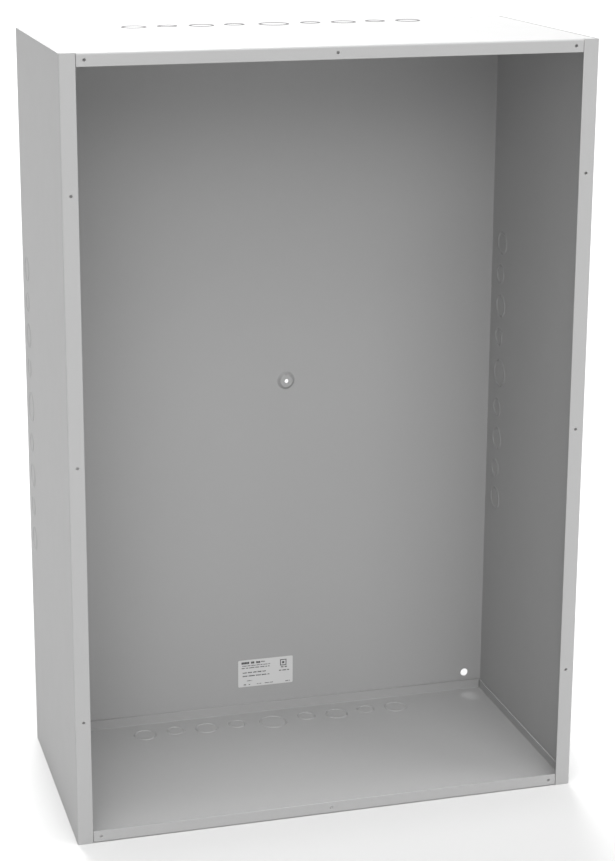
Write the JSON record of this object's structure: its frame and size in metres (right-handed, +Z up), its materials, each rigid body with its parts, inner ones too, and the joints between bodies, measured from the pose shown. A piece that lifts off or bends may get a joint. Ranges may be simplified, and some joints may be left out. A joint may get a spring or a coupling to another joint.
{
  "type": "fire alarm control panel back box",
  "caption": "Empty open-fronted sheet steel back box for a wall-mounted fire alarm panel, with conduit knockouts in all four walls and a drilled flange round the mouth.",
  "frame": {"origin": "middle of the underside's rectangle, at the level of the underside", "axes": "+X right as seen from the front, +Y into the wall behind the box, +Z up. The open front faces -Y."},
  "size_m": [0.6144, 0.3048, 0.9144],
  "materials": {
    "powder_coat": "neutral grey powder coat, satin, fine texture, inside and out",
    "label_stock": "pale grey printed polyester label, satin"
  },
  "bodies": {
    "cabinet": {"cabinet_wrap": "powder_coat", "bottom_end_panel": "powder_coat", "top_end_panel": "powder_coat", "data_label": "label_stock"},
    "knockout_top_1": {"knockout_top_1": "powder_coat"},
    "knockout_top_2": {"knockout_top_2": "powder_coat"},
    "knockout_top_3": {"knockout_top_3": "powder_coat"},
    "knockout_top_4": {"knockout_top_4": "powder_coat"},
    "knockout_top_5": {"knockout_top_5": "powder_coat"},
    "knockout_top_6": {"knockout_top_6": "powder_coat"},
    "knockout_top_7": {"knockout_top_7": "powder_coat"},
    "knockout_top_8": {"knockout_top_8": "powder_coat"},
    "knockout_top_9": {"knockout_top_9": "powder_coat"},
    "knockout_bottom_1": {"knockout_bottom_1": "powder_coat"},
    "knockout_bottom_2": {"knockout_bottom_2": "powder_coat"},
    "knockout_bottom_3": {"knockout_bottom_3": "powder_coat"},
    "knockout_bottom_4": {"knockout_bottom_4": "powder_coat"},
    "knockout_bottom_5": {"knockout_bottom_5": "powder_coat"},
    "knockout_bottom_6": {"knockout_bottom_6": "powder_coat"},
    "knockout_bottom_7": {"knockout_bottom_7": "powder_coat"},
    "knockout_bottom_8": {"knockout_bottom_8": "powder_coat"},
    "knockout_bottom_9": {"knockout_bottom_9": "powder_coat"},
    "knockout_left_1": {"knockout_left_1": "powder_coat"},
    "knockout_left_2": {"knockout_left_2": "powder_coat"},
    "knockout_left_3": {"knockout_left_3": "powder_coat"},
    "knockout_left_4": {"knockout_left_4": "powder_coat"},
    "knockout_left_5": {"knockout_left_5": "powder_coat"},
    "knockout_left_6": {"knockout_left_6": "powder_coat"},
    "knockout_left_7": {"knockout_left_7": "powder_coat"},
    "knockout_left_8": {"knockout_left_8": "powder_coat"},
    "knockout_left_9": {"knockout_left_9": "powder_coat"},
    "knockout_right_1": {"knockout_right_1": "powder_coat"},
    "knockout_right_2": {"knockout_right_2": "powder_coat"},
    "knockout_right_3": {"knockout_right_3": "powder_coat"},
    "knockout_right_4": {"knockout_right_4": "powder_coat"},
    "knockout_right_5": {"knockout_right_5": "powder_coat"},
    "knockout_right_6": {"knockout_right_6": "powder_coat"},
    "knockout_right_7": {"knockout_right_7": "powder_coat"},
    "knockout_right_8": {"knockout_right_8": "powder_coat"},
    "knockout_right_9": {"knockout_right_9": "powder_coat"}
  },
  "joints": [
    {"name": "tie_top_1", "type": "hinge", "parent": "cabinet", "child": "knockout_top_1", "pos_m": [-0.1715, 0.1299, 0.9125], "axis": [1, 0, 0], "range_deg": [0, 80]},
    {"name": "tie_top_2", "type": "hinge", "parent": "cabinet", "child": "knockout_top_2", "pos_m": [-0.1302, 0.1299, 0.9125], "axis": [1, 0, 0], "range_deg": [0, 80]},
    {"name": "tie_top_3", "type": "hinge", "parent": "cabinet", "child": "knockout_top_3", "pos_m": [-0.0889, 0.1299, 0.9125], "axis": [1, 0, 0], "range_deg": [0, 80]},
    {"name": "tie_top_4", "type": "hinge", "parent": "cabinet", "child": "knockout_top_4", "pos_m": [-0.0476, 0.1299, 0.9125], "axis": [1, 0, 0], "range_deg": [0, 80]},
    {"name": "tie_top_5", "type": "hinge", "parent": "cabinet", "child": "knockout_top_5", "pos_m": [0, 0.1299, 0.9125], "axis": [1, 0, 0], "range_deg": [0, 80]},
    {"name": "tie_top_6", "type": "hinge", "parent": "cabinet", "child": "knockout_top_6", "pos_m": [0.0476, 0.1299, 0.9125], "axis": [1, 0, 0], "range_deg": [0, 80]},
    {"name": "tie_top_7", "type": "hinge", "parent": "cabinet", "child": "knockout_top_7", "pos_m": [0.0889, 0.1299, 0.9125], "axis": [1, 0, 0], "range_deg": [0, 80]},
    {"name": "tie_top_8", "type": "hinge", "parent": "cabinet", "child": "knockout_top_8", "pos_m": [0.1302, 0.1299, 0.9125], "axis": [1, 0, 0], "range_deg": [0, 80]},
    {"name": "tie_top_9", "type": "hinge", "parent": "cabinet", "child": "knockout_top_9", "pos_m": [0.1715, 0.1299, 0.9125], "axis": [1, 0, 0], "range_deg": [0, 80]},
    {"name": "tie_bottom_1", "type": "hinge", "parent": "cabinet", "child": "knockout_bottom_1", "pos_m": [-0.1715, 0.1299, 0.0019], "axis": [-1, 0, 0], "range_deg": [0, 80]},
    {"name": "tie_bottom_2", "type": "hinge", "parent": "cabinet", "child": "knockout_bottom_2", "pos_m": [-0.1302, 0.1299, 0.0019], "axis": [-1, 0, 0], "range_deg": [0, 80]},
    {"name": "tie_bottom_3", "type": "hinge", "parent": "cabinet", "child": "knockout_bottom_3", "pos_m": [-0.0889, 0.1299, 0.0019], "axis": [-1, 0, 0], "range_deg": [0, 80]},
    {"name": "tie_bottom_4", "type": "hinge", "parent": "cabinet", "child": "knockout_bottom_4", "pos_m": [-0.0476, 0.1299, 0.0019], "axis": [-1, 0, 0], "range_deg": [0, 80]},
    {"name": "tie_bottom_5", "type": "hinge", "parent": "cabinet", "child": "knockout_bottom_5", "pos_m": [0, 0.1299, 0.0019], "axis": [-1, 0, 0], "range_deg": [0, 80]},
    {"name": "tie_bottom_6", "type": "hinge", "parent": "cabinet", "child": "knockout_bottom_6", "pos_m": [0.0476, 0.1299, 0.0019], "axis": [-1, 0, 0], "range_deg": [0, 80]},
    {"name": "tie_bottom_7", "type": "hinge", "parent": "cabinet", "child": "knockout_bottom_7", "pos_m": [0.0889, 0.1299, 0.0019], "axis": [-1, 0, 0], "range_deg": [0, 80]},
    {"name": "tie_bottom_8", "type": "hinge", "parent": "cabinet", "child": "knockout_bottom_8", "pos_m": [0.1302, 0.1299, 0.0019], "axis": [-1, 0, 0], "range_deg": [0, 80]},
    {"name": "tie_bottom_9", "type": "hinge", "parent": "cabinet", "child": "knockout_bottom_9", "pos_m": [0.1715, 0.1299, 0.0019], "axis": [-1, 0, 0], "range_deg": [0, 80]},
    {"name": "tie_left_1", "type": "hinge", "parent": "cabinet", "child": "knockout_left_1", "pos_m": [-0.3053, 0.1299, 0.2857], "axis": [0, 0, 1], "range_deg": [0, 80]},
    {"name": "tie_left_2", "type": "hinge", "parent": "cabinet", "child": "knockout_left_2", "pos_m": [-0.3053, 0.1299, 0.327], "axis": [0, 0, 1], "range_deg": [0, 80]},
    {"name": "tie_left_3", "type": "hinge", "parent": "cabinet", "child": "knockout_left_3", "pos_m": [-0.3053, 0.1299, 0.3683], "axis": [0, 0, 1], "range_deg": [0, 80]},
    {"name": "tie_left_4", "type": "hinge", "parent": "cabinet", "child": "knockout_left_4", "pos_m": [-0.3053, 0.1299, 0.4096], "axis": [0, 0, 1], "range_deg": [0, 80]},
    {"name": "tie_left_5", "type": "hinge", "parent": "cabinet", "child": "knockout_left_5", "pos_m": [-0.3053, 0.1299, 0.4572], "axis": [0, 0, 1], "range_deg": [0, 80]},
    {"name": "tie_left_6", "type": "hinge", "parent": "cabinet", "child": "knockout_left_6", "pos_m": [-0.3053, 0.1299, 0.5048], "axis": [0, 0, 1], "range_deg": [0, 80]},
    {"name": "tie_left_7", "type": "hinge", "parent": "cabinet", "child": "knockout_left_7", "pos_m": [-0.3053, 0.1299, 0.5461], "axis": [0, 0, 1], "range_deg": [0, 80]},
    {"name": "tie_left_8", "type": "hinge", "parent": "cabinet", "child": "knockout_left_8", "pos_m": [-0.3053, 0.1299, 0.5874], "axis": [0, 0, 1], "range_deg": [0, 80]},
    {"name": "tie_left_9", "type": "hinge", "parent": "cabinet", "child": "knockout_left_9", "pos_m": [-0.3053, 0.1299, 0.6287], "axis": [0, 0, 1], "range_deg": [0, 80]},
    {"name": "tie_right_1", "type": "hinge", "parent": "cabinet", "child": "knockout_right_1", "pos_m": [0.3053, 0.1299, 0.2857], "axis": [0, 0, -1], "range_deg": [0, 80]},
    {"name": "tie_right_2", "type": "hinge", "parent": "cabinet", "child": "knockout_right_2", "pos_m": [0.3053, 0.1299, 0.327], "axis": [0, 0, -1], "range_deg": [0, 80]},
    {"name": "tie_right_3", "type": "hinge", "parent": "cabinet", "child": "knockout_right_3", "pos_m": [0.3053, 0.1299, 0.3683], "axis": [0, 0, -1], "range_deg": [0, 80]},
    {"name": "tie_right_4", "type": "hinge", "parent": "cabinet", "child": "knockout_right_4", "pos_m": [0.3053, 0.1299, 0.4096], "axis": [0, 0, -1], "range_deg": [0, 80]},
    {"name": "tie_right_5", "type": "hinge", "parent": "cabinet", "child": "knockout_right_5", "pos_m": [0.3053, 0.1299, 0.4572], "axis": [0, 0, -1], "range_deg": [0, 80]},
    {"name": "tie_right_6", "type": "hinge", "parent": "cabinet", "child": "knockout_right_6", "pos_m": [0.3053, 0.1299, 0.5048], "axis": [0, 0, -1], "range_deg": [0, 80]},
    {"name": "tie_right_7", "type": "hinge", "parent": "cabinet", "child": "knockout_right_7", "pos_m": [0.3053, 0.1299, 0.5461], "axis": [0, 0, -1], "range_deg": [0, 80]},
    {"name": "tie_right_8", "type": "hinge", "parent": "cabinet", "child": "knockout_right_8", "pos_m": [0.3053, 0.1299, 0.5874], "axis": [0, 0, -1], "range_deg": [0, 80]},
    {"name": "tie_right_9", "type": "hinge", "parent": "cabinet", "child": "knockout_right_9", "pos_m": [0.3053, 0.1299, 0.6287], "axis": [0, 0, -1], "range_deg": [0, 80]}
  ]
}
